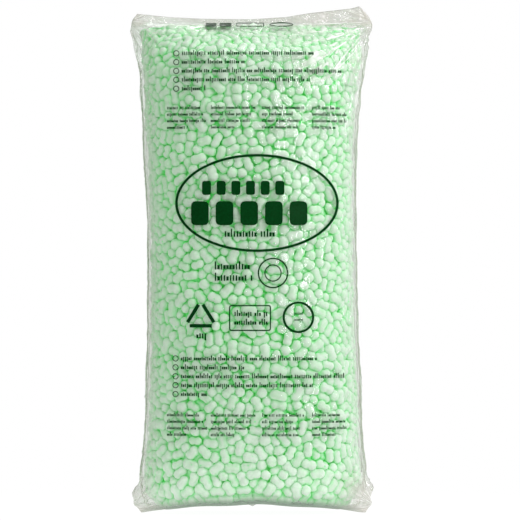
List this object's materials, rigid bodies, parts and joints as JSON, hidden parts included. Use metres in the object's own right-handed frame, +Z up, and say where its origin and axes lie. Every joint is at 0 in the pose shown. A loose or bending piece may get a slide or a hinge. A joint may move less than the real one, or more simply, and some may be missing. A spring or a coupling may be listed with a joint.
{
  "type": "packing peanut bag",
  "caption": "Tall clear plastic bag packed tight with light foam void-fill chips, heat-sealed straight across its top and base, standing upright on a flat base.",
  "frame": {"origin": "middle of the flat base, on the surface that the bag stands on", "axes": "+Z up along the bag's length, +X to the right and -Y out of the printed face as it is looked at"},
  "size_m": [0.726, 0.548, 1.516],
  "materials": {
    "clear_film": "glossy clear polyethylene film, crinkled",
    "green_foam": "matt pale green expanded polystyrene",
    "green_ink": "dark green ink printed on the film"
  },
  "bodies": {
    "root": {"film_bag": "clear_film", "loose_fill": "green_foam", "foam_chip_01": "green_foam", "foam_chip_02": "green_foam", "foam_chip_03": "green_foam", "foam_chip_04": "green_foam", "foam_chip_05": "green_foam", "foam_chip_06": "green_foam", "foam_chip_07": "green_foam", "foam_chip_08": "green_foam", "foam_chip_09": "green_foam", "foam_chip_10": "green_foam", "foam_chip_11": "green_foam", "foam_chip_12": "green_foam", "foam_chip_13": "green_foam", "foam_chip_14": "green_foam", "foam_chip_15": "green_foam", "foam_chip_16": "green_foam", "foam_chip_17": "green_foam", "foam_chip_18": "green_foam", "foam_chip_19": "green_foam", "foam_chip_20": "green_foam", "foam_chip_21": "green_foam", "foam_chip_22": "green_foam", "foam_chip_23": "green_foam", "foam_chip_24": "green_foam", "foam_chip_25": "green_foam", "foam_chip_26": "green_foam", "foam_chip_27": "green_foam", "foam_chip_28": "green_foam", "foam_chip_29": "green_foam", "foam_chip_30": "green_foam", "foam_chip_31": "green_foam", "foam_chip_32": "green_foam", "foam_chip_33": "green_foam", "foam_chip_34": "green_foam", "foam_chip_35": "green_foam", "foam_chip_36": "green_foam", "foam_chip_37": "green_foam", "foam_chip_38": "green_foam", "foam_chip_39": "green_foam"}
  },
  "joints": []
}
